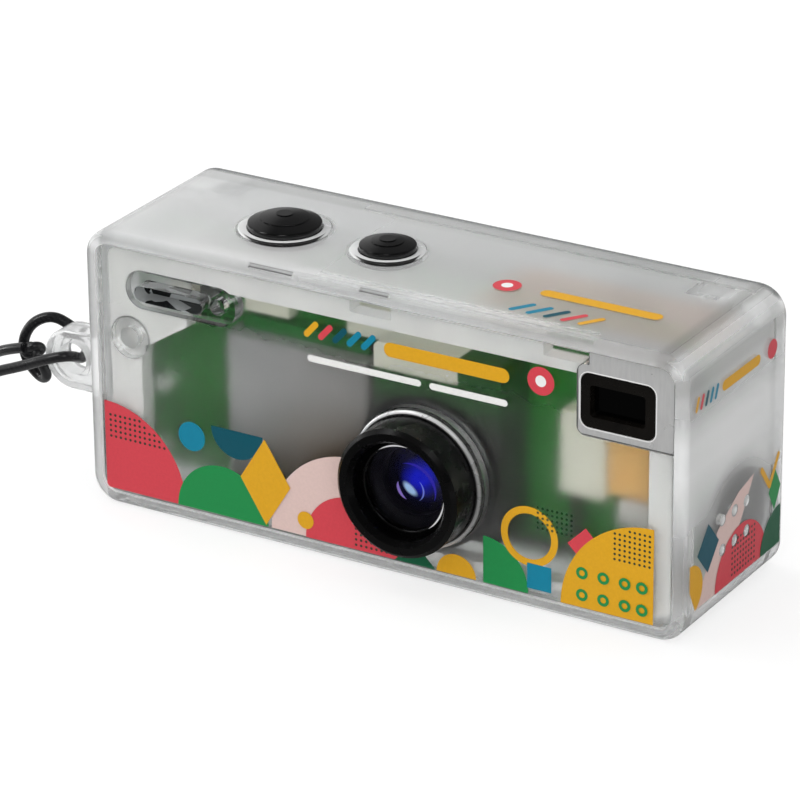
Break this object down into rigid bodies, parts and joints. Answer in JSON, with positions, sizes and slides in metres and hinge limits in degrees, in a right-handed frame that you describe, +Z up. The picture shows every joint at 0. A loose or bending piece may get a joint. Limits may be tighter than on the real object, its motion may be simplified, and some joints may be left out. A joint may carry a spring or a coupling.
{
  "type": "mini digital camera",
  "caption": "Keychain-size box camera in a clear case with a protruding lens, viewfinder window, flash slot, top buttons and a strap eyelet with a cord.",
  "frame": {"origin": "middle of the case's flat underside, half way between its end walls and between its front and back rims", "axes": "+X to the right when facing the lens, +Y from the lens to the back, +Z up"},
  "size_m": [0.0874, 0.0222, 0.0268],
  "materials": {
    "clear_case": "clear moulded plastic, polished outside, soft frost inside",
    "clear_cover": "clear plastic, frosted inside, printed in colours",
    "rear_plastic": "milky clear plastic",
    "frosted_white": "milky white moulding",
    "frosted_grey": "grey translucent moulding",
    "black_matte": "matt black moulding",
    "black_gloss": "polished black",
    "dark_block": "dark grey moulding",
    "lens_glass": "coated optical glass",
    "dark_window": "smoked window",
    "clear_window": "clear window",
    "bright_metal": "bright metal",
    "steel": "plated steel",
    "board_green": "green solder mask",
    "chip_black": "chip package",
    "silicon": "sensor glass",
    "cell_foil": "satin foil pouch",
    "tape_green": "insulating tape",
    "cream": "cream moulding",
    "orange": "orange moulding",
    "white": "white moulding",
    "wire_sheath": "wire insulation",
    "foam": "closed cell foam",
    "resistor": "ceramic with metal ends",
    "lamp": "yellow phosphor lamp in a white package",
    "cord": "woven cord"
  },
  "bodies": {
    "camera": {"body_shell": "clear_case", "front_cover": "clear_cover", "rear_cover": "rear_plastic", "case_screws": "steel", "inner_frame": "frosted_white", "lens_barrel": "black_matte", "lens_trim_ring": "bright_metal", "front_lens": "lens_glass", "lens_spacer": "black_matte", "rear_lens": "lens_glass", "lens_cell": "black_matte", "aperture_stop": "black_matte", "lens_holder": "dark_block", "light_filter": "lens_glass", "image_sensor": "silicon", "viewfinder_housing": "frosted_grey", "viewfinder_frame": "black_gloss", "viewfinder_window": "dark_window", "flash_window": "clear_window", "flash_lamp": "lamp", "shutter_switch": "cream", "power_switch": "cream", "main_board": "board_green", "rear_board": "board_green", "board_header": "black_matte", "processor_chip": "chip_black", "memory_chip": "chip_black", "board_resistors": "resistor", "battery": "cell_foil", "battery_tape": "tape_green", "battery_connector": "cream", "capacitor": "orange", "speaker_socket": "white", "battery_wires": "wire_sheath", "speaker_wires": "wire_sheath", "display_module": "black_matte", "display_gasket": "foam", "display_pane": "dark_window", "rear_switches": "black_matte", "card_socket": "steel", "port_shell": "steel", "port_tongue": "black_matte", "speaker": "dark_block", "speaker_gasket": "foam", "microphone": "steel", "strap_cord": "cord", "cord_knot": "cord"},
    "shutter": {"shutter_button": "black_gloss", "shutter_plunger": "black_matte"},
    "power": {"power_button": "black_gloss", "power_plunger": "black_matte"},
    "rear_key_1": {"rear_button_1": "black_matte", "rear_plunger_1": "black_matte"},
    "rear_key_2": {"rear_button_2": "black_matte", "rear_plunger_2": "black_matte"},
    "rear_key_3": {"rear_button_3": "black_matte", "rear_plunger_3": "black_matte"},
    "card": {"memory_card": "chip_black"}
  },
  "joints": [
    {"name": "shutter_press", "type": "slide", "parent": "camera", "child": "shutter", "axis": [0, 0, -1], "range_m": [0, 0.0005], "stiffness_N_per_m": 400},
    {"name": "power_press", "type": "slide", "parent": "camera", "child": "power", "axis": [0, 0, -1], "range_m": [0, 0.0005], "stiffness_N_per_m": 400},
    {"name": "rear_key_1_press", "type": "slide", "parent": "camera", "child": "rear_key_1", "axis": [0, -1, 0], "range_m": [0, 0.0003], "stiffness_N_per_m": 400},
    {"name": "rear_key_2_press", "type": "slide", "parent": "camera", "child": "rear_key_2", "axis": [0, -1, 0], "range_m": [0, 0.0003], "stiffness_N_per_m": 400},
    {"name": "rear_key_3_press", "type": "slide", "parent": "camera", "child": "rear_key_3", "axis": [0, -1, 0], "range_m": [0, 0.0003], "stiffness_N_per_m": 400},
    {"name": "card_pull", "type": "slide", "parent": "camera", "child": "card", "axis": [-1, 0, 0], "range_m": [0, 0.014]}
  ]
}
